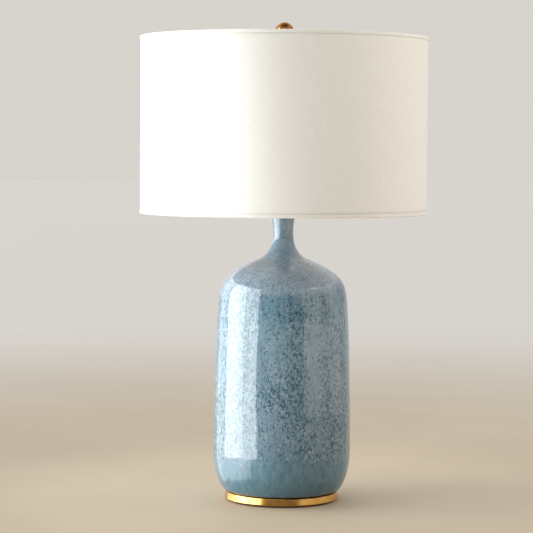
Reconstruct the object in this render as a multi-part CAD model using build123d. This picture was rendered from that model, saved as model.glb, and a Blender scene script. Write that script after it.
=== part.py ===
from build123d import *
import os
from math import cos, radians, sin

# A table lamp: a glazed ceramic jar on a brass base, with a lamp socket and bulb on its neck,
# and a drum shade that hangs on a wire harp and is held by a ball finial.
# Millimetres. The lamp stands on the XY plane, its axis is Z and its front faces -Y.

# Driving dimensions
FELT_THICKNESS = 2.5
FELT_RADIUS = 86.0

BASE_RADIUS = 91.8
BASE_HEIGHT = 11.5
BASE_SKIN = 2.7
BASE_RECESS_RADIUS = 70.0
BASE_EDGE_ROUND = 1.2
BASE_DRAFT = 1.4

GASKET_THICKNESS = 1.0
BODY_WALL = 5.0
BODY_FLOOR = 7.0
BODY_FLOOR_HOLE = 22.0

ROD_RADIUS = 4.8
ROD_BORE = 3.1
ROD_CLEARANCE = 0.2

CORD_EXIT_HEIGHT = 7.2
CORD_BORE = 3.0

CAP_RADIUS = 21.0
CAP_PLATE = 2.5
CAP_SKIRT = 8.0
SPACER_HEIGHT = 9.5
SPACER_RADIUS = 7.5

SADDLE_THICKNESS = 1.6
SADDLE_WIDTH = 6.0
EAR_INSIDE = 27.7
EAR_HEIGHT = 12.0

SOCKET_RADIUS = 16.0
SOCKET_HEIGHT = 64.4
SHEET = 0.6
SWITCH_HEIGHT = 503.0
SHAFT_RADIUS = 1.6
KNOB_RADIUS = 6.0
KNOB_LENGTH = 12.0
KNOB_START = 19.5

BULB_THREAD_RADIUS = 13.1
BULB_CAP_BORE = 12.2
BULB_NECK_RADIUS = 11.9
BULB_RADIUS = 30.0
BULB_CENTRE = 589.0
BULB_GLASS = 1.0

HARP_WIRE = 1.75
HARP_SEAT = 726.6
STUD_RADIUS = 3.1
STUD_TOP = 740.0
SLEEVE_HEIGHT = 14.0

SHADE_RADIUS = 228.6
SHADE_BOTTOM = 459.9
SHADE_HEIGHT = 279.4
FABRIC_THICKNESS = 0.8
LINER_THICKNESS = 0.5
HEM_HEIGHT = 5.0
HEM_THICKNESS = 0.5
FRAME_WIRE = 1.6
HUB_RADIUS = 15.0
HUB_THICKNESS = 1.6
ARM_ANGLES = (90, 210, 330)

FINIAL_RADIUS = 14.8
FINIAL_CENTRE = 749.4
FINIAL_FOOT_RADIUS = 7.0

RUNNING = 0.05
GAP = 0.3

# Heights that follow from them
base_bottom = FELT_THICKNESS
base_top = base_bottom + BASE_HEIGHT
recess_top = base_top - BASE_SKIN
body_bottom = base_top + GASKET_THICKNESS

# The jar's outside from its foot to its lip: smooth curves, each by its ends and the two
# points that it leans towards, as (radius, height)
FOOT_ROUND = [(87.0, body_bottom), (93.2, 15.2), (95.2, 18.2), (97.4, 22.0)]
FOOT_FLARE = [(97.4, 22.0), (104.6, 34.4), (110.8, 52.0), (110.6, 84.0)]
SIDE = [(110.6, 84.0), (110.1, 150.0), (108.3, 252.0), (104.4, 311.6)]
SHOULDER_TURN = [(104.4, 311.6), (103.2, 333.0), (101.0, 350.6), (84.1, 363.0)]
SHOULDER_FALL = [(84.1, 363.0), (73.0, 373.2), (54.2, 380.6), (37.1, 388.0)]
NECK_SWEEP = [(37.1, 388.0), (28.5, 392.4), (16.6, 404.0), (16.6, 426.0)]
LIP_FLARE = [(16.6, 426.0), (16.6, 441.0), (17.6, 447.0), (19.5, 457.0)]
HOLLOW_CURVES = [FOOT_FLARE, SIDE, SHOULDER_TURN, SHOULDER_FALL, NECK_SWEEP]
neck_bore = NECK_SWEEP[-1][0] - BODY_WALL
body_top = LIP_FLARE[-1][1]

cap_bottom = body_top + 1.0
cap_top = cap_bottom + CAP_PLATE
saddle_bottom = cap_top + SPACER_HEIGHT
saddle_top = saddle_bottom + SADDLE_THICKNESS
socket_top = saddle_top + SOCKET_HEIGHT
shade_top = SHADE_BOTTOM + SHADE_HEIGHT
hub_top = HARP_SEAT + HUB_THICKNESS


def disc(radius, low, high):
    """A solid cylinder about Z."""
    return Pos(0, 0, low) * extrude(Circle(radius), high - low)


def tube(outer, inner, low, high):
    """A hollow cylinder about Z."""
    return Pos(0, 0, low) * extrude(Circle(outer) - Circle(inner), high - low)


def turned(*outline):
    """A solid turned about Z from the corners (radius, height) of its section."""
    return revolve(Plane.XZ * make_face(Polyline(*outline, close=True)), Axis.Z)


def across(radius, start, end, height, turn=0.0):
    """A rod that runs outward from the axis along +X, turned about Z, at a height."""
    rod = extrude(Circle(radius), end - start)
    return Rot(0, 0, turn) * Pos(start, 0, height) * Rot(0, 90, 0) * rod


def wire(path, radius):
    """A round wire along a path."""
    section = Plane(origin=path @ 0, z_dir=path % 0) * Circle(radius)
    return sweep(section, path=path)


def curve_through(points):
    """A smooth curve in the XZ plane from four points (radius, height)."""
    return Bezier(*[(radius, 0, height) for radius, height in points])


# Base

def felt_pad():
    return disc(FELT_RADIUS, 0, FELT_THICKNESS)


def base_plate():
    outline = [
        (0, base_bottom),
        (BASE_RADIUS, base_bottom),
        (BASE_RADIUS - BASE_DRAFT, base_top),
        (0, base_top),
    ]
    plate = turned(*outline)
    rims = plate.edges().filter_by(GeomType.CIRCLE)
    plate = fillet(rims, BASE_EDGE_ROUND)
    plate -= disc(BASE_RECESS_RADIUS, base_bottom, recess_top)
    plate -= disc(ROD_RADIUS + ROD_CLEARANCE, recess_top, base_top)
    return plate - across(CORD_BORE + 0.9, 60, BASE_RADIUS + 1, CORD_EXIT_HEIGHT, 90)


def cord_grommet():
    start = BASE_RECESS_RADIUS - 1.5
    body = across(CORD_BORE + 0.8, start, BASE_RADIUS + 0.1, CORD_EXIT_HEIGHT, 90)
    body += across(CORD_BORE + 1.6, BASE_RADIUS + 0.1, BASE_RADIUS + 1.7, CORD_EXIT_HEIGHT, 90)
    return body - across(CORD_BORE, start - 1, BASE_RADIUS + 3, CORD_EXIT_HEIGHT, 90)


washer_bottom = recess_top - 1.2
lock_bottom = washer_bottom - 0.8
nut_bottom = lock_bottom - 3.2
rod_bottom = nut_bottom - 0.4


def base_washer():
    return tube(15.0, ROD_RADIUS + ROD_CLEARANCE, washer_bottom, recess_top)


def base_lock_washer():
    ring = tube(8.0, ROD_RADIUS + ROD_CLEARANCE, lock_bottom, washer_bottom)
    return ring - Pos(6.5, 0, (lock_bottom + washer_bottom) / 2) * Box(6, 0.8, 2)


def base_nut():
    hexagon = RegularPolygon(7.0, 6, major_radius=False) - Circle(ROD_RADIUS + 0.05)
    return Pos(0, 0, nut_bottom) * extrude(hexagon, lock_bottom - nut_bottom)


def threaded_rod():
    return tube(ROD_RADIUS, ROD_BORE, rod_bottom, saddle_top + 8.0)


# Body

def body_gasket():
    return tube(85.0, 60.0, base_top, body_bottom)


def inset(curve, part, wall):
    """The point a wall's thickness inside a curve that runs upward, a part of the way along."""
    along = (curve % part).normalized()
    return curve @ part + Vector(-along.Z, 0, along.X) * wall


def ceramic_body():
    walls = [curve_through(points) for points in HOLLOW_CURVES]
    inside = [inset(curve, part, BODY_WALL) for curve in walls for part in (0.1, 0.5, 0.9)]
    floor = body_bottom + BODY_FLOOR
    corners = [
        inside[0],
        (FOOT_ROUND[0][0], 0, floor),
        (BODY_FLOOR_HOLE, 0, floor),
        (BODY_FLOOR_HOLE, 0, body_bottom),
        (FOOT_ROUND[0][0], 0, body_bottom),
    ]
    bore_start = (neck_bore, 0, LIP_FLARE[0][1])
    lip = [(LIP_FLARE[-1][0], 0, body_top), (neck_bore, 0, body_top), bore_start]
    outside = [FOOT_ROUND, FOOT_FLARE, SIDE, SHOULDER_TURN, SHOULDER_FALL, NECK_SWEEP, LIP_FLARE]
    section = [curve_through(points) for points in outside]
    section += [Polyline(*corners), Polyline(*lip), Spline(*inside, bore_start)]
    return revolve(make_face(section), Axis.Z)


def neck_washer():
    return tube(19.0, neck_bore + 0.5, body_top, cap_bottom)


def neck_cap():
    skirt_bottom = cap_top - CAP_SKIRT
    cap = disc(CAP_RADIUS, cap_bottom, cap_top)
    cap = fillet(cap.edges().sort_by(Axis.Z)[-1], 1.0)
    cap += tube(CAP_RADIUS, CAP_RADIUS - 1.2, skirt_bottom, cap_bottom)
    cap += tube(neck_bore - 0.4, neck_bore - 2.0, cap_bottom - 7.0, cap_bottom)
    return cap - disc(ROD_RADIUS + ROD_CLEARANCE, cap_bottom - 1, cap_top + 1)


def neck_spacer():
    waist = SPACER_RADIUS - 1.4
    bore = ROD_RADIUS + ROD_CLEARANCE
    outline = [
        (bore, cap_top),
        (SPACER_RADIUS, cap_top),
        (SPACER_RADIUS, cap_top + 2.2),
        (waist, cap_top + 3.4),
        (waist, saddle_bottom - 3.4),
        (SPACER_RADIUS, saddle_bottom - 2.2),
        (SPACER_RADIUS, saddle_bottom),
        (bore, saddle_bottom),
    ]
    return turned(*outline)


# Harp

ear_outside = EAR_INSIDE + SADDLE_THICKNESS
leg_offset = ear_outside + 0.1 + HARP_WIRE
sleeve_bottom = saddle_top + 0.4


def harp_saddle():
    plate = disc(13.0, saddle_bottom, saddle_top)
    middle = (saddle_bottom + saddle_top) / 2
    plate += Pos(0, 0, middle) * Box(SADDLE_WIDTH, 2 * ear_outside, SADDLE_THICKNESS)
    for side in (-1, 1):
        ear = Box(SADDLE_WIDTH, SADDLE_THICKNESS, EAR_HEIGHT + SADDLE_THICKNESS)
        height = saddle_bottom + (EAR_HEIGHT + SADDLE_THICKNESS) / 2
        plate += Pos(0, side * (EAR_INSIDE + SADDLE_THICKNESS / 2), height) * ear
    return plate - disc(ROD_RADIUS + ROD_CLEARANCE, saddle_bottom - 1, saddle_top + 1)


def harp_leg():
    """The front leg's path and its mirror's, from the foot to the stud."""
    corners = [
        (0, -leg_offset, sleeve_bottom),
        (0, -leg_offset, 512),
        (0, -58, 566),
        (0, -58, 640),
        (0, -34, 721.5),
        (0, -3, 721.5),
    ]
    return FilletPolyline(*corners, radius=[30, 60, 150, 22])


def harp_wire(stud):
    front = wire(harp_leg(), HARP_WIRE)
    front -= Pos(0, -leg_offset, saddle_top + EAR_HEIGHT / 2) * foot_slot()
    both = front + mirror(front, Plane.XZ)
    return both - stud


def foot_slot():
    """The flat milled on the ear's side of a leg's foot."""
    return Pos(0, HARP_WIRE, 0) * Box(4 * HARP_WIRE, 0.8, EAR_HEIGHT + 4)


def harp_stud():
    barrel = disc(4.5, 717.5, 724.0)
    seat = disc(8.0, 724.0, HARP_SEAT)
    seat = fillet(seat.edges().filter_by(GeomType.CIRCLE), 0.6)
    stud = disc(STUD_RADIUS, HARP_SEAT, STUD_TOP)
    stud = chamfer(stud.edges().sort_by(Axis.Z)[-1], 0.6)
    return barrel + seat + stud


def harp_sleeve(side):
    """The oval ferrule that locks a leg to its ear: side is -1 in front and 1 behind."""
    inner = RectangleRounded(SADDLE_WIDTH + 0.8, 6.2, 0.6)
    outer = RectangleRounded(SADDLE_WIDTH + 3.0, 8.4, 2.4)
    middle = (EAR_INSIDE + leg_offset + HARP_WIRE) / 2
    return Pos(0, side * middle, sleeve_bottom) * extrude(outer - inner, SLEEVE_HEIGHT)


# Socket

collar_top = saddle_top + 8.4
dome_top = saddle_top + 19.4
shell_bottom = dome_top
block_bottom = dome_top + 2.0
block_top = block_bottom + 15.0
SET_SCREW_HEIGHT = saddle_top + 4.6


def socket_cap():
    bore = ROD_RADIUS + 0.1
    outline = [
        Line((bore, 0, saddle_top), (7.6, 0, saddle_top)),
        Line((7.6, 0, saddle_top), (7.6, 0, collar_top)),
        Spline((7.6, 0, collar_top), (14.4, 0, collar_top + 4.5), (17.0, 0, dome_top)),
        Line((17.0, 0, dome_top), (17.0, 0, dome_top + 5.0)),
        Line((17.0, 0, dome_top + 5.0), (16.2, 0, dome_top + 5.0)),
        Line((16.2, 0, dome_top + 5.0), (16.2, 0, dome_top)),
        Spline((16.2, 0, dome_top), (13.7, 0, collar_top + 5.4), (bore, 0, collar_top + 1.0)),
        Line((bore, 0, collar_top + 1.0), (bore, 0, saddle_top)),
    ]
    cap = revolve(make_face(outline), Axis.Z)
    return cap - across(1.7, 3, 10, SET_SCREW_HEIGHT, 225)


def socket_set_screw():
    screw = across(1.6, ROD_RADIUS + 0.02, 7.8, SET_SCREW_HEIGHT, 225)
    screw += across(2.6, 7.8, 9.6, SET_SCREW_HEIGHT, 225)
    slot = Rot(0, 0, 225) * Pos(9.6, 0, SET_SCREW_HEIGHT) * Box(1.4, 0.7, 6)
    return screw - slot


def socket_shell():
    shell = tube(SOCKET_RADIUS, SOCKET_RADIUS - SHEET, shell_bottom, socket_top)
    bead = tube(SOCKET_RADIUS + 0.6, SOCKET_RADIUS, socket_top - 1.4, socket_top)
    ridge = tube(SOCKET_RADIUS + 0.5, SOCKET_RADIUS, dome_top + 5.4, dome_top + 6.4)
    return shell + bead + ridge - across(2.6, 12, 20, SWITCH_HEIGHT)


def socket_sleeve():
    outer = SOCKET_RADIUS - SHEET - 0.2
    sleeve = tube(outer, outer - SHEET, shell_bottom + 2.0, socket_top - 0.5)
    return sleeve - across(2.6, 12, 20, SWITCH_HEIGHT)


def switch_block():
    block = disc(14.3, block_bottom, block_top)
    for side in (-1, 1):
        block -= Pos(0, side * 14.3, (block_bottom + block_top) / 2) * Box(30, 5.6, 20)
    block -= across(SHAFT_RADIUS + RUNNING, 6, 16, SWITCH_HEIGHT)
    return block - terminal_holes()


def terminal_holes():
    height = (block_bottom + block_top) / 2
    front = across(1.3, 8.0, 12, height, -90)
    back = across(1.3, 8.0, 12, height, 90)
    return front + back


def terminal_screws():
    height = (block_bottom + block_top) / 2
    screws = []
    for turn in (-90, 90):
        screw = across(1.3, 8.0, 11.5, height, turn) + across(2.8, 11.5, 13.4, height, turn)
        screws.append(screw - Rot(0, 0, turn) * Pos(13.4, 0, height) * Box(1.2, 0.7, 6))
    return screws[0] + screws[1]


def screw_shell():
    shell = tube(13.9, 13.3, block_top, socket_top - 2.0)
    return shell + tube(13.9, 5.0, block_top, block_top + SHEET)


def centre_contact():
    contact = disc(4.0, block_top, block_top + 1.2)
    return fillet(contact.edges().sort_by(Axis.Z)[-1], 0.5)


def switch_shaft():
    return across(SHAFT_RADIUS, 6.5, KNOB_START + 6.0, SWITCH_HEIGHT)


def switch_knob():
    end = KNOB_START + KNOB_LENGTH
    knob = across(KNOB_RADIUS, KNOB_START, end, SWITCH_HEIGHT)
    knob = chamfer(knob.edges().filter_by(GeomType.CIRCLE), 0.7)
    for step in range(18):
        angle = radians(step * 20)
        groove = across(0.45, KNOB_START - 1, end + 1, SWITCH_HEIGHT)
        knob -= Pos(0, KNOB_RADIUS * cos(angle), KNOB_RADIUS * sin(angle)) * groove
    return knob - across(SHAFT_RADIUS, KNOB_START - 1, KNOB_START + 6.0, SWITCH_HEIGHT)


# Bulb

tip_bottom = block_top + 1.5
tip_top = tip_bottom + 1.4
insulator_bottom = tip_top + RUNNING
cap_low = insulator_bottom + 3.6
cap_high = socket_top + 0.8
RIVET_RADIUS = 2.0


def bulb_tip_contact():
    head = disc(4.5, tip_bottom, tip_top)
    head = fillet(head.edges().sort_by(Axis.Z)[0], 1.0)
    return head + disc(RIVET_RADIUS, tip_top, tip_top + 2.6)


def bulb_insulator():
    cone = turned(
        (RIVET_RADIUS + RUNNING, insulator_bottom),
        (5.6, insulator_bottom),
        (BULB_NECK_RADIUS, cap_low),
        (BULB_NECK_RADIUS, cap_low + 1.6),
        (RIVET_RADIUS + RUNNING, cap_low + 1.6),
    )
    return cone


def bulb_screw_cap():
    return turned(
        (BULB_CAP_BORE, cap_low),
        (BULB_THREAD_RADIUS, cap_low + 0.8),
        (BULB_THREAD_RADIUS, cap_high),
        (BULB_CAP_BORE, cap_high),
    )


def bulb_envelope(inset_by, neck_low):
    """The section of the bulb's round end and neck, closed on the axis."""
    radius = BULB_RADIUS - inset_by
    neck = BULB_NECK_RADIUS - inset_by
    neck_high = cap_high + 1.5
    top = (0, 0, BULB_CENTRE + radius)
    middle = (radius * sin(radians(45)), 0, BULB_CENTRE + radius * cos(radians(45)))
    belly = (radius, 0, BULB_CENTRE)
    shoulder = (20.4 - inset_by, 0, 557.0)
    section = [
        ThreePointArc(top, middle, belly),
        Spline(belly, shoulder, (neck, 0, neck_high), tangents=[(0, 0, -1), (0, 0, -1)]),
        Line((neck, 0, neck_high), (neck, 0, neck_low)),
        Line((neck, 0, neck_low), (0, 0, neck_low)),
        Line((0, 0, neck_low), top),
    ]
    return revolve(make_face(section), Axis.Z)


def bulb_glass():
    neck_low = cap_low + 6.0
    return bulb_envelope(0, neck_low) - bulb_envelope(BULB_GLASS, neck_low)


STEM_LOW = 526.0
STEM_HIGH = 556.0
LEAD_TOP = 586.0
LEAD_RADIUS = 0.4
FILAMENT_REACH = 11.0


def bulb_stem():
    return turned(
        (0, STEM_LOW),
        (9.0, STEM_LOW),
        (4.5, STEM_LOW + 10.0),
        (2.6, STEM_LOW + 14.0),
        (2.6, STEM_HIGH),
        (0, STEM_HIGH),
    )


def bulb_lead_wires(stem):
    leads = []
    for side in (-1, 1):
        path = Line((side * 1.2, 0, STEM_HIGH - 1), (side * FILAMENT_REACH, 0, LEAD_TOP))
        leads.append(wire(path, LEAD_RADIUS) - stem)
    return leads[0] + leads[1]


def bulb_filament(leads):
    height = LEAD_TOP + LEAD_RADIUS
    path = Line((-FILAMENT_REACH, 0, height), (FILAMENT_REACH, 0, height))
    return wire(path, 0.5) - leads


# Shade

liner_radius = SHADE_RADIUS - FABRIC_THICKNESS
ring_radius = liner_radius - LINER_THICKNESS - 0.1 - FRAME_WIRE
RING_INSET = 1.9


def shade_fabric():
    return tube(SHADE_RADIUS, liner_radius, SHADE_BOTTOM, shade_top)


def shade_liner():
    return tube(liner_radius, liner_radius - LINER_THICKNESS, SHADE_BOTTOM, shade_top)


def shade_ring(height):
    return Pos(0, 0, height) * Torus(ring_radius, FRAME_WIRE)


def shade_hem(edge, inward):
    """The strip folded over an edge of the drum: inward is -1 at the top and 1 at the bottom."""
    outer = SHADE_RADIUS + HEM_THICKNESS
    inner = ring_radius - FRAME_WIRE - 0.1
    crown = edge - inward * HEM_THICKNESS
    foot = edge + inward * HEM_HEIGHT
    outline = [
        (outer, crown),
        (outer, foot),
        (SHADE_RADIUS, foot),
        (SHADE_RADIUS, edge),
        (inner, edge),
        (inner, foot),
        (inner - HEM_THICKNESS, foot),
        (inner - HEM_THICKNESS, crown),
    ]
    return turned(*outline)


def shade_top_hem():
    hem = shade_hem(shade_top, -1)
    for angle in ARM_ANGLES:
        notch = Pos(ring_radius - FRAME_WIRE, 0, shade_top) * Box(3.0, 6.0, 2 * HEM_HEIGHT + 2)
        hem -= Rot(0, 0, angle) * notch
    return hem


def spider_hub():
    return tube(HUB_RADIUS, STUD_RADIUS + GAP, HARP_SEAT, hub_top)


def spider_arm(angle):
    height = (HARP_SEAT + hub_top) / 2
    ring_height = shade_top - RING_INSET
    corners = [
        (HUB_RADIUS - 1.5, 0, height),
        (ring_radius - 26.0, 0, height),
        (ring_radius, 0, ring_height),
    ]
    path = FilletPolyline(*corners, radius=40)
    return Rot(0, 0, angle) * wire(path, FRAME_WIRE)


def spider_arms(hub, ring):
    arms = [spider_arm(angle) - hub - ring for angle in ARM_ANGLES]
    return arms[0] + arms[1] + arms[2]


# Finial

bush_bottom = hub_top + 0.8
bush_top = STUD_TOP + 1.0
bush_outside = STUD_RADIUS + 1.5


def finial_bush():
    return tube(bush_outside, STUD_RADIUS + RUNNING, bush_bottom, bush_top)


def finial_bore():
    return disc(bush_outside + RUNNING, hub_top - 1, bush_top + 1.5)


def finial_ball():
    return Pos(0, 0, FINIAL_CENTRE) * Sphere(FINIAL_RADIUS) - finial_bore()


def finial_foot(ball):
    bottom = hub_top + GAP
    foot = turned(
        (0, bottom),
        (FINIAL_FOOT_RADIUS, bottom),
        (FINIAL_FOOT_RADIUS, bottom + 2.0),
        (FINIAL_FOOT_RADIUS - 1.4, bottom + 3.4),
        (FINIAL_FOOT_RADIUS - 1.4, bottom + 9.0),
        (0, bottom + 9.0),
    )
    return foot - Pos(0, 0, FINIAL_CENTRE) * Sphere(FINIAL_RADIUS) - finial_bore()


def lamp():
    """Every piece of the lamp by name."""
    stud = harp_stud()
    hub = spider_hub()
    top_ring = shade_ring(shade_top - RING_INSET)
    ball = finial_ball()
    stem = bulb_stem()
    leads = bulb_lead_wires(stem)
    return {
        "felt_pad": felt_pad(),
        "base_plate": base_plate(),
        "cord_grommet": cord_grommet(),
        "base_washer": base_washer(),
        "base_lock_washer": base_lock_washer(),
        "base_nut": base_nut(),
        "threaded_rod": threaded_rod(),
        "body_gasket": body_gasket(),
        "ceramic_body": ceramic_body(),
        "neck_washer": neck_washer(),
        "neck_cap": neck_cap(),
        "neck_spacer": neck_spacer(),
        "harp_saddle": harp_saddle(),
        "harp_wire": harp_wire(stud),
        "harp_stud": stud,
        "harp_sleeve_front": harp_sleeve(-1),
        "harp_sleeve_back": harp_sleeve(1),
        "socket_cap": socket_cap(),
        "socket_set_screw": socket_set_screw(),
        "socket_shell": socket_shell(),
        "socket_sleeve": socket_sleeve(),
        "switch_block": switch_block(),
        "terminal_screws": terminal_screws(),
        "screw_shell": screw_shell(),
        "centre_contact": centre_contact(),
        "switch_shaft": switch_shaft(),
        "switch_knob": switch_knob(),
        "bulb_tip_contact": bulb_tip_contact(),
        "bulb_insulator": bulb_insulator(),
        "bulb_screw_cap": bulb_screw_cap(),
        "bulb_glass": bulb_glass(),
        "bulb_stem": stem,
        "bulb_lead_wires": leads,
        "bulb_filament": bulb_filament(leads),
        "shade_fabric": shade_fabric(),
        "shade_liner": shade_liner(),
        "shade_top_ring": top_ring,
        "shade_bottom_ring": shade_ring(SHADE_BOTTOM + RING_INSET),
        "shade_top_hem": shade_top_hem(),
        "shade_bottom_hem": shade_hem(SHADE_BOTTOM, 1),
        "spider_hub": hub,
        "spider_arms": spider_arms(hub, top_ring),
        "finial_bush": finial_bush(),
        "finial_foot": finial_foot(ball),
        "finial_ball": ball,
    }


os.makedirs("parts", exist_ok=True)
for name, piece in lamp().items():
    export_step(piece, f"parts/{name}.step")
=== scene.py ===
"""A table lamp: a reactive-glazed jar on a brass base under a white drum shade."""

import math

import bmesh
import bpy
from mathutils import Matrix, Vector, noise
from mathutils.bvhtree import BVHTree


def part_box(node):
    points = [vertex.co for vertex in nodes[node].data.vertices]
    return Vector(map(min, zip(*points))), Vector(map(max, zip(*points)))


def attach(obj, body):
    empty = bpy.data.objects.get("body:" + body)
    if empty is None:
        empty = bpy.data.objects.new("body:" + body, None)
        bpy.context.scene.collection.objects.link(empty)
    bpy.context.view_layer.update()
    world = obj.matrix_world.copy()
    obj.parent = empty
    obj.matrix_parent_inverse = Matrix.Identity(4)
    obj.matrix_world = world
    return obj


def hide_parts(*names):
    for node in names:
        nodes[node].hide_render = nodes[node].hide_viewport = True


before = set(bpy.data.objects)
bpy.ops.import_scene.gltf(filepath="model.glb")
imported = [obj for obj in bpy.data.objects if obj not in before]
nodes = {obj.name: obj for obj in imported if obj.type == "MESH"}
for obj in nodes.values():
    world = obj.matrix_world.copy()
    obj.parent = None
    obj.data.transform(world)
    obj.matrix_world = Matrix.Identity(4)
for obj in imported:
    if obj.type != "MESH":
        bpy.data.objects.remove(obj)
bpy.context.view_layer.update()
MM = 0.001

# Driving dimensions, in metres
JAR_FLOOR = 7.2 * MM            # where the hollow ends, above the jar's underside
JAR_SWAY = 0.5 * MM             # slow unevenness of the thrown wall
JAR_RIPPLE = 0.2 * MM           # finer unevenness
CLOTH_THICKNESS = 0.5 * MM
SEAM_OVERLAP = 12 * MM
SEAM_RISE = 4 * MM              # how far the lapped end takes to climb over the start
TAPE_THICKNESS = 0.35 * MM
THREAD_PITCH = 25.4 * MM / 7
THREAD_DEPTH = 0.7 * MM
THREAD_PLAIN = 3.0 * MM         # the bulb cap's smooth collar
CAP_SHEET = 0.3 * MM

# How finely pieces are divided
AROUND = 256
AROUND_TAPE = 384
AROUND_FELT = 512

# The camera stands on the lamp's front side and looks a little down at it. The roll stands
# for the lamp's slight lean.
CAMERA_DISTANCE = 3.195
CAMERA_HEIGHT = 0.5645
CAMERA_SIDE = -0.0263
CAMERA_TILT = 3.41              # degrees
CAMERA_ROLL = 0.35              # degrees
CAMERA_LENS = 134.9             # millimetres, on a sensor 36 wide

# Soft lights: name, angle from the camera's side with left negative, distance from the lamp,
# width, foot, top, power in watts, colour
FLOOR_HALF = 30.0
LOW_LIGHT = 0.3                 # lights below this height leave the floor alone
PANEL_SPREAD = 110              # degrees
DAYLIGHT = (0.94, 0.98, 1.0)
WARM = (1.0, 0.95, 0.88)
PANELS = [
    ("window_bright", -86.3, 0.85, 0.606, -0.06, 0.9, 5.3, DAYLIGHT),
    ("window_back", -121.0, 0.85, 0.44, -0.35, 0.85, 0.92, DAYLIGHT),
    ("window_soft", -53.9, 0.85, 0.389, -0.06, 0.9, 2.25, DAYLIGHT),
    ("window_sill", -79.0, 0.85, 0.90, -0.45, -0.06, 1.15, DAYLIGHT),
    ("pane_left", -81.0, 0.85, 0.30, 0.98, 1.28, 1.4, (1.0, 0.98, 0.94)),
    ("pane_right", 65.0, 1.1, 0.34, 0.98, 1.30, 0.5, (1.0, 0.86, 0.68)),
    ("reflector_side", 94.0, 1.1, 0.78, 0.02, 1.3, 0.65, WARM),
    ("reflector_front", 54.0, 1.1, 0.78, 0.02, 1.3, 1.1, WARM),
]

# White light from the room itself, by where it comes from
AIR = {"overhead": 0.95, "front": 0.07, "behind_left": 1.0, "behind_right": 0.5}


# ---------------------------------------------------------------- materials

class Surface:
    """A material as a chain of nodes that ends in one Principled shader."""

    def __init__(self, name, **sockets):
        self.material = bpy.data.materials.new(name)
        self.material.use_nodes = True
        self.tree = self.material.node_tree
        self.shader = self.tree.nodes["Principled BSDF"]
        self.set(self.shader, sockets)
        self.place = self.tree.nodes.new("ShaderNodeTexCoord").outputs["Object"]

    def set(self, node, sockets):
        """Gives each named socket a number, a colour or a link."""
        for key, value in sockets.items():
            socket = node.inputs[key if isinstance(key, int) else key.replace("_", " ")]
            if isinstance(value, bpy.types.NodeSocket):
                self.tree.links.new(value, socket)
            else:
                socket.default_value = value

    def node(self, kind, **sockets):
        made = self.tree.nodes.new("ShaderNode" + kind)
        self.set(made, sockets)
        return made

    def stretched(self, scale):
        """The place on the object, scaled along each axis."""
        made = self.node("Mapping", Vector=self.place, Scale=scale)
        return made.outputs["Vector"]

    def noise(self, scale, detail=3.0, roughness=0.55, at=None, distortion=0.0):
        made = self.node("TexNoise", Vector=at or self.place, Scale=scale, Detail=detail,
                         Roughness=roughness, Distortion=distortion)
        return made.outputs["Fac"]

    def math(self, operation, *values):
        """The result of one Math node, whose inputs are the values in order."""
        made = self.tree.nodes.new("ShaderNodeMath")
        made.operation = operation
        self.set(made, dict(enumerate(values)))
        return made.outputs[0]

    def step(self, value, low, high):
        """0 below low and 1 above high, or the reverse where high is the smaller."""
        made = self.tree.nodes.new("ShaderNodeMapRange")
        made.interpolation_type = "SMOOTHSTEP"
        ends = (0.0, 1.0) if low < high else (1.0, 0.0)
        self.set(made, {"Value": value, "From Min": min(low, high), "From Max": max(low, high),
                        "To Min": ends[0], "To Max": ends[1]})
        return made.outputs["Result"]

    def mix(self, factor, a, b):
        """From colour a to colour b as the factor goes from 0 to 1."""
        made = self.tree.nodes.new("ShaderNodeMix")
        made.data_type = "RGBA"
        self.set(made, {0: factor, 6: a, 7: b})
        return made.outputs[2]

    def ramp(self, value, *stops):
        """A colour for each (position, colour)."""
        made = self.node("ValToRGB", Fac=value)
        ramp = made.color_ramp
        while len(ramp.elements) < len(stops):
            ramp.elements.new(1.0)
        for element, (position, colour) in zip(ramp.elements, stops):
            element.position = position
            element.color = colour
        return made.outputs["Color"]

    def height(self):
        """How high a point is, in metres."""
        made = self.node("SeparateXYZ", Vector=self.place)
        return made.outputs["Z"]

    def bump(self, height, depth, strength, under=None):
        """A relief of that depth in metres, on top of another where under is given."""
        made = self.node("Bump", Height=height, Distance=depth, Strength=strength)
        if under is not None:
            self.set(made, {"Normal": under})
        return made.outputs["Normal"]

    def done(self, **sockets):
        """Links what is left into the shader and gives the material."""
        self.set(self.shader, sockets)
        return self.material


def rgb(red, green, blue):
    """A linear colour from display values of 0 to 255."""
    values = [channel / 255 for channel in (red, green, blue)]
    linear = [v / 12.92 if v <= 0.04045 else ((v + 0.055) / 1.055) ** 2.4 for v in values]
    return (*linear, 1.0)


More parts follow.
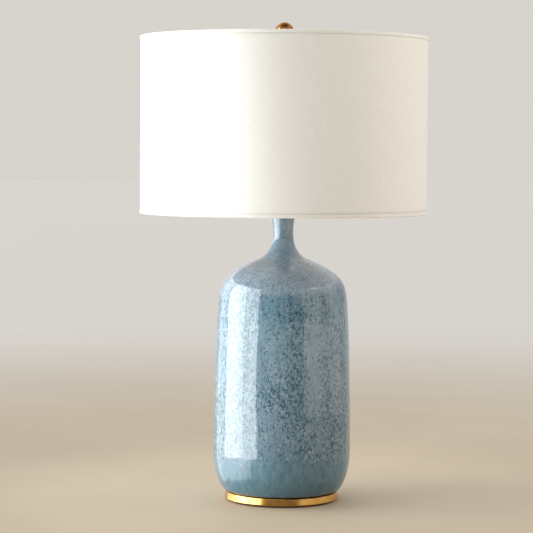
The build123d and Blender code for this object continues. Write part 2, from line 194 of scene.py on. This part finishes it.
def glaze():
    """A glossy reactive glaze: pale flecks and dark teal pores, in clusters that ran downward."""
    s = Surface("reactive_glaze", Roughness=0.4, Specular_IOR_Level=0.15, Coat_Weight=1.0,
                Coat_Roughness=0.075, Coat_IOR=1.66)
    height = s.height()
    run = s.stretched((1, 1, 0.72))
    # where the pores crowd together: long vertical drifts
    drift = s.noise(19, 3, 0.6, at=s.stretched((1, 1, 0.42)), distortion=0.7)
    crowd = s.step(drift, 0.29, 0.60)
    # tones
    wash = s.noise(48, 4, 0.6, at=s.stretched((1, 1, 0.5)), distortion=0.5)
    tone = s.ramp(wash, (0.30, rgb(84, 112, 127)), (0.5, rgb(103, 128, 142)),
                  (0.70, rgb(116, 138, 150)))
    teal = s.noise(24, 3, 0.55, at=s.stretched((1, 1, 0.5)))
    tone = s.mix(s.math("MULTIPLY", s.step(teal, 0.46, 0.68), 0.5), tone, rgb(72, 112, 130))
    # pale flecks between the pores
    fleck = s.noise(330, 2.5, 0.6, at=run, distortion=0.5)
    pale = s.math("MULTIPLY", s.step(fleck, 0.50, 0.64), s.step(drift, 0.24, 0.5))
    tone = s.mix(s.math("MULTIPLY", pale, 0.6), tone, rgb(152, 173, 182))
    # pores: small dark dots and short chains of them
    pore = s.noise(262, 2.2, 0.5, at=run, distortion=0.9)
    limit = s.math("MULTIPLY_ADD", crowd, 0.125, 0.368)
    depth = s.math("SUBTRACT", limit, pore)
    dark = s.step(depth, -0.012, 0.05)
    halo = s.step(depth, -0.075, 0.01)
    tone = s.mix(s.math("MULTIPLY", halo, 0.4), tone, rgb(66, 106, 124))
    # the shoulder's fine stipple and the smoother neck
    stipple = s.step(s.noise(420, 2, 0.5), 0.40, 0.60)
    shoulder = s.step(height, 0.318, 0.356)
    neck = s.step(height, 0.383, 0.402)
    fine = s.mix(stipple, rgb(88, 108, 124), rgb(146, 154, 162))
    smooth = s.ramp(wash, (0.3, rgb(100, 122, 138)), (0.65, rgb(124, 142, 156)))
    fine = s.mix(neck, fine, smooth)
    tone = s.mix(s.math("MULTIPLY", shoulder, 0.7), tone, fine)
    pores_fade = s.math("SUBTRACT", 1.0, s.math("MULTIPLY", shoulder, 0.7))
    # the foot, where the glaze ran: smoother teal with long streaks and few pores
    edge = s.math("MULTIPLY_ADD", s.noise(28, 3, 0.6), 0.075, 0.04)
    foot = s.step(s.math("SUBTRACT", height, edge), 0.014, -0.02)
    streak = s.noise(170, 3, 0.6, at=s.stretched((1, 1, 0.16)), distortion=0.4)
    runs = s.ramp(streak, (0.34, rgb(58, 97, 112)), (0.5, rgb(76, 115, 132)),
                  (0.66, rgb(92, 129, 146)))
    low = s.step(height, 0.062, 0.018)
    runs = s.mix(s.math("MULTIPLY", low, 0.5), runs, rgb(48, 86, 98))
    tone = s.mix(s.math("MULTIPLY", foot, 0.84), tone, runs)
    pores_fade = s.math("MULTIPLY", pores_fade,
                        s.math("SUBTRACT", 1.0, s.math("MULTIPLY", foot, 0.9)))
    dark = s.math("MULTIPLY", dark, pores_fade)
    tone = s.mix(s.math("MULTIPLY", dark, 0.85), tone, rgb(24, 66, 84))
    # the glaze lies thinner over the pores and pools in soft waves
    soft = s.bump(s.noise(30, 2, 0.5), 0.6 * MM, 0.35)
    pitted = s.bump(s.math("SUBTRACT", 1.0, dark), 0.12 * MM, 0.35, under=soft)
    return s.done(Base_Color=tone, Normal=pitted, Coat_Normal=soft)


def cloth(name, light, dark, thread_scale):
    """A plain off-white weave, with threads that vary in thickness and tone. It reads the
    piece's own map of its cloth, in metres."""
    s = Surface(name, Roughness=0.86, Sheen_Weight=0.25, Sheen_Roughness=0.4,
                Specular_IOR_Level=0.25)
    at = s.tree.nodes.new("ShaderNodeUVMap").outputs["UV"]

    def threads(direction):
        wave = s.tree.nodes.new("ShaderNodeTexWave")
        wave.bands_direction = direction
        s.set(wave, {"Vector": at, "Scale": thread_scale, "Distortion": 1.4,
                     "Detail": 2.0, "Detail Scale": 0.8, "Detail Roughness": 0.5})
        return wave.outputs["Fac"]

    def slubs(scale):
        wide = s.node("Mapping", Vector=at, Scale=scale)
        made = s.node("TexNoise", Vector=wide.outputs["Vector"], Scale=1.0, Detail=3.0,
                      Roughness=0.6)
        return made.outputs["Fac"]

    across, along = threads("X"), threads("Y")
    weave = s.math("MAXIMUM", across, along)
    slub = s.math("MAXIMUM", slubs((60, 1500, 1)), slubs((1500, 60, 1)))
    tone = s.ramp(slub, (0.42, dark), (0.62, light))
    tone = s.mix(s.math("MULTIPLY", s.math("SUBTRACT", 1.0, weave), 0.16), tone, dark)
    normal = s.bump(slub, 0.12 * MM, 0.5, under=s.bump(weave, 0.10 * MM, 0.6))
    return s.done(Base_Color=tone, Normal=normal)


def liner():
    """White styrene: smooth, faintly glossy, with a slight grain and scuffs."""
    s = Surface("styrene_liner", Roughness=0.42, Specular_IOR_Level=0.4)
    grain = s.noise(900, 2, 0.5)
    scuffs = s.noise(60, 4, 0.65, at=s.stretched((1, 1, 0.2)))
    tone = s.ramp(scuffs, (0.35, rgb(235, 233, 228)), (0.6, rgb(241, 240, 236)))
    rough = s.math("MULTIPLY_ADD", scuffs, 0.17, 0.365)
    return s.done(Base_Color=tone, Roughness=rough, Normal=s.bump(grain, 0.05 * MM, 0.25))


def brass(name, light, dark, roughness, spread, brushed=0.0, lines=(600, 600, 600)):
    """Lacquered brass. brushed is how far fine lines round the axis spread its gloss up and
    down, and lines is how they are stretched."""
    s = Surface(name, Metallic=1.0, Anisotropic=brushed, Anisotropic_Rotation=0.25)
    if brushed:
        tangent = s.tree.nodes.new("ShaderNodeTangent")
        tangent.direction_type = "RADIAL"
        tangent.axis = "Z"
        s.set(s.shader, {"Tangent": tangent.outputs[0]})
    patina = s.noise(70, 4, 0.62)
    fine = s.noise(1.0, 3, 0.6, at=s.stretched(lines))
    tone = s.ramp(patina, (0.34, dark), (0.62, light))
    rough = s.math("MULTIPLY_ADD", s.math("ADD", patina, fine), spread, roughness - spread)
    return s.done(Base_Color=tone, Roughness=rough, Normal=s.bump(fine, 0.02 * MM, 0.25))


def metal(name, light, dark, roughness, grain=400, depth=0.04):
    """Plated steel or aluminium with fine grain and duller patches."""
    s = Surface(name, Metallic=1.0)
    patches = s.noise(90, 4, 0.6)
    fine = s.noise(grain, 3, 0.6)
    tone = s.ramp(patches, (0.35, dark), (0.62, light))
    rough = s.math("MULTIPLY_ADD", fine, 0.22, roughness)
    return s.done(Base_Color=tone, Roughness=rough, Normal=s.bump(fine, depth * MM, 0.4))


def dull(name, light, dark, roughness, grain, depth, patches=60, **sockets):
    """A non-metal with a grain: moulded plastic, rubber, fibre board or felt."""
    s = Surface(name, Roughness=roughness, **sockets)
    broad = s.noise(patches, 4, 0.6)
    fine = s.noise(grain, 3, 0.6)
    tone = s.ramp(s.math("MULTIPLY", s.math("ADD", broad, fine), 0.5),
                  (0.4, dark), (0.58, light))
    return s.done(Base_Color=tone, Normal=s.bump(fine, depth * MM, 0.5))


def glass(name, colour, roughness, transmission, haze):
    """Glass whose clouding and haze vary a little over it."""
    s = Surface(name, IOR=1.47, Transmission_Weight=transmission)
    cloud = s.noise(120, 3, 0.6)
    tone = s.ramp(cloud, (0.3, tuple(c * 0.94 for c in colour[:3]) + (1,)), (0.7, colour))
    rough = s.math("MULTIPLY_ADD", cloud, haze, roughness)
    return s.done(Base_Color=tone, Roughness=rough, Normal=s.bump(cloud, 0.02 * MM, 0.2))


def pale_floor():
    """Warm and plain under the lamp, lighter and cooler far off."""
    s = Surface("pale_floor", Roughness=0.75)
    near = s.ramp(s.noise(3, 4, 0.6), (0.35, rgb(184, 168, 144)), (0.65, rgb(190, 174, 150)))
    distance = s.node("TexGradient", Vector=s.stretched((0.125, 0.125, 0.125)))
    distance.gradient_type = "SPHERICAL"
    tone = s.mix(s.step(distance.outputs["Fac"], 0.93, 0.6), near, rgb(214, 209, 202))
    return s.done(Base_Color=tone, Normal=s.bump(s.noise(300, 3, 0.6), 0.05 * MM, 0.2))


OLD_GOLD, OLD_GOLD_DARK = rgb(201, 165, 107), rgb(170, 132, 78)
WHITE, WHITE_DARK = rgb(240, 238, 233), rgb(232, 229, 222)

jar_glaze = glaze()
shade_cloth = cloth("shade_linen", WHITE, WHITE_DARK, 330)
tape_cloth = cloth("hem_linen", rgb(240, 237, 231), rgb(231, 227, 219), 330)
white_liner = liner()
brushed_brass = brass("brushed_brass", rgb(224, 174, 100), rgb(204, 150, 78), 0.25, 0.06,
                      brushed=0.6, lines=(40, 40, 2600))
# The finial's brass is painted darker than the other brass: painted shade for the dark room that its
# polished ball reflects.
shaded_polished_brass = brass("shaded_polished_brass", rgb(150, 100, 46), rgb(124, 79, 32), 0.12, 0.05)
satin_brass = brass("satin_brass", OLD_GOLD, OLD_GOLD_DARK, 0.3, 0.1)
drawn_brass = brass("drawn_brass", OLD_GOLD, OLD_GOLD_DARK, 0.27, 0.09, lines=(900, 900, 60))
zinc = metal("zinc_plate", rgb(196, 196, 190), rgb(158, 158, 152), 0.26)
aluminium = metal("rolled_aluminium", rgb(214, 214, 212), rgb(184, 184, 182), 0.2, 700, 0.02)
tungsten = metal("tungsten", rgb(120, 116, 110), rgb(86, 82, 78), 0.4)
solder = metal("solder", rgb(186, 186, 184), rgb(148, 148, 146), 0.3, 260, 0.08)
felt = dull("felt", rgb(62, 50, 42), rgb(38, 30, 25), 0.95, 1300, 0.35, Sheen_Weight=0.5)
rubber = dull("rubber", rgb(44, 40, 38), rgb(28, 25, 24), 0.8, 900, 0.05)
phenolic = dull("phenolic", rgb(40, 32, 30), rgb(26, 20, 19), 0.34, 500, 0.03)
fibre = dull("fibre_board", rgb(150, 116, 80), rgb(116, 86, 56), 0.85, 700, 0.12)
black_plastic = dull("black_plastic", rgb(34, 34, 35), rgb(22, 22, 23), 0.45, 1100, 0.04)
black_glass = dull("black_glass", rgb(26, 22, 30), rgb(14, 12, 17), 0.1, 200, 0.01)
frosted = glass("frosted_glass", rgb(244, 243, 238), 0.38, 0.55, 0.1)
clear = glass("clear_glass", rgb(226, 236, 230), 0.03, 0.9, 0.04)

NODE_MATERIALS = {
    "base_plate": brushed_brass,
    "cord_grommet": black_plastic,
    "base_washer": zinc,
    "base_lock_washer": zinc,
    "base_nut": zinc,
    "threaded_rod": zinc,
    "body_gasket": rubber,
    "neck_washer": rubber,
    "neck_cap": satin_brass,
    "neck_spacer": satin_brass,
    "harp_saddle": satin_brass,
    "harp_wire": drawn_brass,
    "harp_stud": satin_brass,
    "harp_sleeve_front": satin_brass,
    "harp_sleeve_back": satin_brass,
    "socket_cap": satin_brass,
    "socket_set_screw": zinc,
    "socket_shell": drawn_brass,
    "socket_sleeve": fibre,
    "switch_block": phenolic,
    "terminal_screws": satin_brass,
    "screw_shell": aluminium,
    "centre_contact": satin_brass,
    "switch_shaft": satin_brass,
    "switch_knob": satin_brass,
    "bulb_tip_contact": solder,
    "bulb_insulator": black_glass,
    "bulb_glass": frosted,
    "bulb_stem": clear,
    "bulb_lead_wires": zinc,
    "bulb_filament": tungsten,
    "shade_liner": white_liner,
    "shade_top_ring": satin_brass,
    "shade_bottom_ring": satin_brass,
    "spider_hub": satin_brass,
    "spider_arms": satin_brass,
    "finial_bush": satin_brass,
    "finial_foot": shaded_polished_brass,
    "finial_ball": shaded_polished_brass,
}
for name, material in NODE_MATERIALS.items():
    nodes[name].data.materials.clear()
    nodes[name].data.materials.append(material)


# ---------------------------------------------------------------- mesh helpers

def new_piece(name, points, faces, material, uv=None, smooth=True):
    """A mesh object with one material, and a map of places where uv gives one per corner."""
    mesh = bpy.data.meshes.new(name)
    mesh.from_pydata(points, [], faces)
    mesh.update()
    if uv is not None:
        layer = mesh.uv_layers.new(name="UVMap")
        for loop, value in zip(layer.data, uv):
            loop.uv = value
    for face in mesh.polygons:
        face.use_smooth = smooth
    mesh.materials.append(material)
    piece = bpy.data.objects.new(name, mesh)
    bpy.context.scene.collection.objects.link(piece)
    return piece


def turned(name, outline, material, radial=None, around=AROUND):
    """A closed solid turned about Z from a closed outline of (radius, height), whose outside
    runs upward. radial(angle, radius, height) gives how far a point moves out."""
    count = len(outline)
    points = []
    for column in range(around):
        angle = 2 * math.pi * column / around
        for radius, height in outline:
            r = radius
            if radial:
                r += radial(angle, radius, height)
            points.append((r * math.cos(angle), r * math.sin(angle), height))
    lengths = [0.0]
    for (r0, z0), (r1, z1) in zip(outline, outline[1:] + outline[:1]):
        lengths.append(lengths[-1] + math.hypot(r1 - r0, z1 - z0))
    widest = max(radius for radius, _ in outline)
    faces, uv = [], []
    for column in range(around):
        here, after = column * count, (column + 1) % around * count
        left = 2 * math.pi * widest * column / around
        right = 2 * math.pi * widest * (column + 1) / around
        for row in range(count):
            above = (row + 1) % count
            faces.append((here + row, after + row, after + above, here + above))
            uv += [(left, lengths[row]), (right, lengths[row]),
                   (right, lengths[row + 1]), (left, lengths[row + 1])]
    return new_piece(name, points, faces, material, uv)


def sharpen(piece, degrees=40):
    """Keeps edges that turn more than an angle crisp."""
    limit = math.radians(degrees)
    mesh = bmesh.new()
    mesh.from_mesh(piece.data)
    for edge in mesh.edges:
        if len(edge.link_faces) == 2:
            edge.smooth = edge.calc_face_angle(0) < limit
    mesh.to_mesh(piece.data)
    mesh.free()
    return piece


def stands_for(piece, node, body):
    """piece shows what CAD node is for, hides that node and takes its motion."""
    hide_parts(node)
    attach(piece, body)
    return piece


# ---------------------------------------------------------------- jar

def jar_outline(node):
    """The jar's section read from the frame: outside from foot to lip, then inside back down."""
    low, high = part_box(node)
    tree = BVHTree.FromObject(nodes[node], bpy.context.evaluated_depsgraph_get())
    beside = 0.4 * MM           # off the middle, where the CAD mesh has its seam
    margin = 0.01 * MM          # inside the two end faces

    def outside(height):
        return tree.ray_cast(Vector((0.5, beside, height)), Vector((-1, 0, 0)))[0].x

    def inside(height):
        return tree.ray_cast(Vector((0, beside, height)), Vector((1, 0, 0)))[0].x

    rise = high.z - low.z
    outer_heights = [low.z + margin + (rise - 2 * margin) * row / 300 for row in range(301)]
    inner_heights = [high.z - margin - (rise - JAR_FLOOR) * row / 60 for row in range(61)]
    hole = inside(low.z + 1 * MM)
    outline = [(hole, low.z)]
    outline += [(outside(height), height) for height in outer_heights]
    outline += [(inside(height), height) for height in inner_heights]
    outline.append((hole, low.z + 7 * MM))
    return outline


def hand_thrown(angle, radius, height):
    """The slight unevenness of a thrown and glazed wall. The neck's bore stays true."""
    if radius < 12.5 * MM:
        return 0.0
    x, y = math.cos(angle), math.sin(angle)
    sway = noise.noise(Vector((1.6 * x, 1.6 * y, 16 * height))) * JAR_SWAY
    ripple = noise.noise(Vector((5 * x, 5 * y, 46 * height + 9))) * JAR_RIPPLE
    return sway + ripple - JAR_SWAY / 2


jar = turned("ceramic_jar", jar_outline("ceramic_body"), jar_glaze, radial=hand_thrown)
sharpen(jar, 50)
stands_for(jar, "ceramic_body", "base")


# ---------------------------------------------------------------- shade

def smooth_step(x):
    x = min(1.0, max(0.0, x))
    return x * x * (3 - 2 * x)


def drum_cloth():
    """The shade's cloth: one strip wound round the liner, its end lapped over its start at the
    back."""
    low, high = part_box("shade_fabric")
    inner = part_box("shade_liner")[1].x + 0.05 * MM
    start = math.pi / 2 - 0.02
    whole = 2 * math.pi + SEAM_OVERLAP / inner
    climb = SEAM_RISE / inner
    lift_from = 2 * math.pi - climb
    columns, rows = 300, 24
    arcs = [whole * i / columns for i in range(columns + 1)]
    arcs += [lift_from + (whole - lift_from) * i / 16 for i in range(1, 16)]
    arcs.sort()
    heights = [low.z + (high.z - low.z) * row / rows for row in range(rows + 1)]
    grid = []
    for side in (0, 1):
        for arc in arcs:
            lift = smooth_step((arc - lift_from) / climb) * (CLOTH_THICKNESS + 0.03 * MM)
            for height in heights:
                slack = noise.noise(Vector((3 * math.cos(arc), 3 * math.sin(arc), 9 * height)))
                radius = inner + lift + side * CLOTH_THICKNESS + (0.5 + slack) * 0.1 * MM
                angle = start + arc
                grid.append((radius * math.cos(angle), radius * math.sin(angle), height))
    stride = rows + 1
    layer = len(arcs) * stride
    faces, uv = [], []

    def place(column, row):
        return (arcs[column] * inner, (high.z - low.z) * row / rows)

    def add(face, places, turned_over=False):
        faces.append(face[::-1] if turned_over else face)
        uv.extend(places)

    for i in range(len(arcs) - 1):
        for j in range(rows):
            a, b = i * stride + j, (i + 1) * stride + j
            add((layer + a, layer + b, layer + b + 1, layer + a + 1),
                [place(i, j), place(i + 1, j), place(i + 1, j + 1), place(i, j + 1)])
            add((a, a + 1, b + 1, b),
                [place(i, j), place(i, j + 1), place(i + 1, j + 1), place(i + 1, j)])
        for j in (0, rows):
            a, b = i * stride + j, (i + 1) * stride + j
            add((a, b, layer + b, layer + a), [place(i, j)] * 4, turned_over=j == rows)
    for i in (0, len(arcs) - 1):
        for j in range(rows):
            a = i * stride + j
            add((a, a + 1, layer + a + 1, layer + a), [place(i, j)] * 4, turned_over=i == 0)
    return new_piece("drum_cloth", grid, faces, shade_cloth, uv)


def folded_tape(name, node, edge_is_top):
    """The strip folded over an edge of the drum, rounded over the wire ring."""
    low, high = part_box(node)
    ring_low, ring_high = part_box("shade_top_ring")
    outer = high.x
    inner = ring_high.x - (ring_high.z - ring_low.z) - 0.55 * MM
    tall = high.z - low.z
    thick = TAPE_THICKNESS
    bend_out, bend_in = 1.5 * MM, 2.6 * MM
    stop_in = tall * 0.08
    straight = tall * 0.3

    def bend(x, radius, corner, start):
        """A quarter turn from the angle start, about a point corner below the fold."""
        turns = [math.radians(start + 15 * step) for step in range(7)]
        return [(x + radius * math.cos(turn), tall - corner + radius * math.sin(turn))
                for turn in turns]

    outline = [(outer - 0.3 * MM, 0.0), (outer, 0.5 * MM), (outer, straight)]
    outline += bend(outer - bend_out, bend_out, bend_out, 0)
    outline += bend(inner + bend_in, bend_in, bend_in, 90)
    outline += [(inner, straight), (inner, stop_in), (inner + thick, stop_in), (inner + thick, straight)]
    outline += bend(inner + bend_in, bend_in - thick, bend_in, 90)[::-1]
    outline += bend(outer - bend_out, bend_out - thick, bend_out, 0)[::-1]
    outline += [(outer - thick, straight), (outer - thick, 0.0)]
    if edge_is_top:
        outline = [(r, low.z + h) for r, h in outline]
    else:
        outline = [(r, high.z - h) for r, h in reversed(outline)]

    def wavy(angle, radius, height):
        x, y = 9 * math.cos(angle), 9 * math.sin(angle)
        return noise.noise(Vector((x, y, 40 * height))) * 0.08 * MM

    tape = turned(name, outline, tape_cloth, radial=wavy, around=AROUND_TAPE)
    return stands_for(tape, node, "shade")


drum = drum_cloth()
stands_for(drum, "shade_fabric", "shade")
top_tape = folded_tape("top_hem_tape", "shade_top_hem", True)
bottom_tape = folded_tape("bottom_hem_tape", "shade_bottom_hem", False)


def weld_bead(name, centre, size, seed):
    """A small bead of solder, squashed and uneven."""
    mesh = bmesh.new()
    bmesh.ops.create_icosphere(mesh, subdivisions=3, radius=1.0)
    for vert in mesh.verts:
        lump = 1 + 0.22 * noise.noise(vert.co * 1.7 + Vector((seed, 0, 0)))
        vert.co = Vector(centre) + Vector((vert.co.x * size[0], vert.co.y * size[1],
                                           vert.co.z * size[2])) * lump
    for face in mesh.faces:
        face.smooth = True
    data = bpy.data.meshes.new(name)
    mesh.to_mesh(data)
    mesh.free()
    data.materials.append(satin_brass)
    piece = bpy.data.objects.new(name, data)
    bpy.context.scene.collection.objects.link(piece)
    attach(piece, "shade")
    return piece


HUB_BEAD = (2.4 * MM, 2.4 * MM, 1.5 * MM)
RING_BEAD = (2.1 * MM, 2.1 * MM, 1.9 * MM)
hub_low, hub_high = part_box("spider_hub")
ring_low, ring_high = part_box("shade_top_ring")
for step in range(3):
    angle = math.radians(90 + 120 * step)
    towards = Vector((math.cos(angle), math.sin(angle), 0))
    at_hub = towards * hub_high.x + Vector((0, 0, (hub_low.z + hub_high.z) / 2))
    at_ring = towards * (ring_high.x - 3.4 * MM) + Vector((0, 0, ring_low.z + 0.4 * MM))
    weld_bead(f"hub_weld_{step + 1}", at_hub, HUB_BEAD, step)
    weld_bead(f"ring_weld_{step + 1}", at_ring, RING_BEAD, step + 5)


# ---------------------------------------------------------------- felt, bulb cap

def felt_disc():
    """The pad under the base, with a slightly furred edge."""
    low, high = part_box("felt_pad")
    edge = high.x
    middle = 0.4 * MM
    outline = [
        (middle, low.z),
        (edge - 0.7 * MM, low.z),
        (edge - 0.15 * MM, low.z + 0.3 * MM),
        (edge, low.z + 1.1 * MM),
        (edge - 0.1 * MM, high.z - 0.3 * MM),
        (edge - 0.5 * MM, high.z),
        (middle, high.z),
    ]

    def furred(angle, radius, height):
        if radius < edge / 2:
            return 0.0
        x, y = 60 * math.cos(angle), 60 * math.sin(angle)
        return noise.noise(Vector((x, y, height))) * 0.3 * MM

    return turned("felt_disc", outline, felt, radial=furred, around=AROUND_FELT)


pad = sharpen(felt_disc(), 20)
stands_for(pad, "felt_pad", "base")


def bulb_cap():
    """The bulb's rolled screw cap, with its rounded thread."""
    low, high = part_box("bulb_screw_cap")
    fade_over = 2 * MM
    columns, rows = 96, 110
    points, faces = [], []
    for side in (0, 1):
        for column in range(columns):
            turn = column / columns
            for row in range(rows + 1):
                height = low.z + (high.z - low.z) * row / rows
                phase = 2 * math.pi * ((height - low.z) / THREAD_PITCH - turn)
                fade = min(smooth_step((height - low.z) / fade_over),
                           smooth_step((high.z - THREAD_PLAIN - height) / fade_over))
                depth = THREAD_DEPTH * (0.5 - 0.5 * math.cos(phase)) * fade
                radius = high.x - depth - side * CAP_SHEET
                angle = 2 * math.pi * turn
                points.append((radius * math.cos(angle), radius * math.sin(angle), height))
    stride, layer = rows + 1, columns * (rows + 1)
    for column in range(columns):
        after = (column + 1) % columns
        for row in range(rows):
            a, b = column * stride + row, after * stride + row
            faces.append((a, b, b + 1, a + 1))
            faces.append((layer + a, layer + a + 1, layer + b + 1, layer + b))
        a, b = column * stride, after * stride
        faces.append((a, layer + a, layer + b, b))
        a, b = a + rows, b + rows
        faces.append((a, b, layer + b, layer + a))
    return new_piece("bulb_thread_cap", points, faces, aluminium)


stands_for(bulb_cap(), "bulb_screw_cap", "bulb")


# ---------------------------------------------------------------- studio

def floor():
    """A broad pale floor, a hair under the felt."""
    low = -0.3 * MM
    around = ((-1, -1), (1, -1), (1, 1), (-1, 1))
    corners = [(x * FLOOR_HALF, y * FLOOR_HALF, low) for x, y in around]
    return new_piece("floor", corners, [(0, 1, 2, 3)], pale_floor(), smooth=False)


ground = floor()
all_but_floor = bpy.data.collections.new("all_but_floor")
all_but_floor.objects.link(ground)
all_but_floor.collection_objects[0].light_linking.link_state = "EXCLUDE"


def panel(name, angle, distance, width, low, high, power, colour, on_floor):
    """A soft light that faces the lamp. The angle is from the camera's side, left negative.
    A light that is not for the floor neither falls on it nor is stopped by it."""
    data = bpy.data.lights.new(name, "AREA")
    data.shape = "RECTANGLE"
    data.size, data.size_y = width, high - low
    data.energy = power
    data.color = colour
    data.spread = math.radians(PANEL_SPREAD)
    light = bpy.data.objects.new(name, data)
    turn = math.radians(angle)
    light.location = (distance * math.sin(turn), -distance * math.cos(turn), (low + high) / 2)
    towards = Vector((-light.location.x, -light.location.y, 0))
    light.rotation_mode = "QUATERNION"
    light.rotation_quaternion = towards.to_track_quat("-Z", "Y")
    light.visible_camera = False
    if not on_floor:
        light.light_linking.receiver_collection = all_but_floor
        light.light_linking.blocker_collection = all_but_floor
    bpy.context.scene.collection.objects.link(light)


def tall_panel(name, angle, distance, width, low, high, power, colour):
    """A panel whose part below LOW_LIGHT leaves the floor alone, where it would draw a hard
    edge."""
    share = min(1.0, max(0.0, (LOW_LIGHT - low) / (high - low)))
    if share > 0:
        split = low + share * (high - low)
        panel(name + "_low", angle, distance, width, low, split, power * share, colour, False)
        low = split
    if share < 1:
        panel(name, angle, distance, width, low, high, power * (1 - share), colour, True)


for settings in PANELS:
    tall_panel(*settings)


def room_air():
    """Light from all round: from overhead, from the camera's side, and from the wall behind,
    which is brighter on the left. Seen straight on it is a plain pale wall."""
    world = bpy.data.worlds.new("room")
    world.use_nodes = True
    bpy.context.scene.world = world
    tree = world.node_tree

    def within(values, low, high):
        """1 at high and beyond, 0 at low and beyond, whichever is the greater."""
        made = tree.nodes.new("ShaderNodeMapRange")
        made.interpolation_type = "SMOOTHSTEP"
        made.inputs["From Min"].default_value = min(low, high)
        made.inputs["From Max"].default_value = max(low, high)
        made.inputs["To Min"].default_value = float(low > high)
        made.inputs["To Max"].default_value = float(low < high)
        tree.links.new(values, made.inputs["Value"])
        return made.outputs["Result"]

    def times(a, b):
        """a times b, each a number or a link."""
        made = tree.nodes.new("ShaderNodeMath")
        made.operation = "MULTIPLY"
        for socket, value in zip(made.inputs, (a, b)):
            if isinstance(value, float):
                socket.default_value = value
            else:
                tree.links.new(value, socket)
        return made.outputs[0]

    def background(colour):
        made = tree.nodes.new("ShaderNodeBackground")
        made.inputs["Color"].default_value = colour
        return made

    way = tree.nodes.new("ShaderNodeSeparateXYZ")
    tree.links.new(tree.nodes.new("ShaderNodeTexCoord").outputs["Generated"], way.inputs[0])
    side, away, up = way.outputs["X"], way.outputs["Y"], way.outputs["Z"]
    behind = within(away, -0.5, 0.25)
    parts = {
        "overhead": times(within(up, 0.2, 0.55), within(up, 0.92, 0.7)),
        "front": within(away, 0.25, -0.5),
        "behind_left": times(behind, within(side, 0.6, -0.6)),
        "behind_right": times(behind, within(side, -0.6, 0.6)),
    }
    total = None
    for name, amount in parts.items():
        light = background((1, 1, 1, 1))
        tree.links.new(times(amount, AIR[name]), light.inputs["Strength"])
        if total is None:
            total = light.outputs[0]
            continue
        added = tree.nodes.new("ShaderNodeAddShader")
        tree.links.new(total, added.inputs[0])
        tree.links.new(light.outputs[0], added.inputs[1])
        total = added.outputs[0]
    wall = background(rgb(215, 211, 205))
    chosen = tree.nodes.new("ShaderNodeMixShader")
    seen = tree.nodes.new("ShaderNodeLightPath").outputs["Is Camera Ray"]
    tree.links.new(seen, chosen.inputs["Fac"])
    tree.links.new(total, chosen.inputs[1])
    tree.links.new(wall.outputs[0], chosen.inputs[2])
    tree.links.new(chosen.outputs[0], tree.nodes["World Output"].inputs["Surface"])


room_air()

camera_data = bpy.data.cameras.new("camera")
camera_data.lens = CAMERA_LENS
camera_data.sensor_width = 36.0
camera_data.clip_end = 60.0
camera = bpy.data.objects.new("camera", camera_data)
camera.matrix_world = (Matrix.Translation((CAMERA_SIDE, -CAMERA_DISTANCE, CAMERA_HEIGHT))
                       @ Matrix.Rotation(math.radians(90 - CAMERA_TILT), 4, "X")
                       @ Matrix.Rotation(math.radians(CAMERA_ROLL), 4, "Z"))
bpy.context.scene.collection.objects.link(camera)
bpy.context.scene.camera = camera
bpy.context.scene.view_settings.view_transform = "Standard"
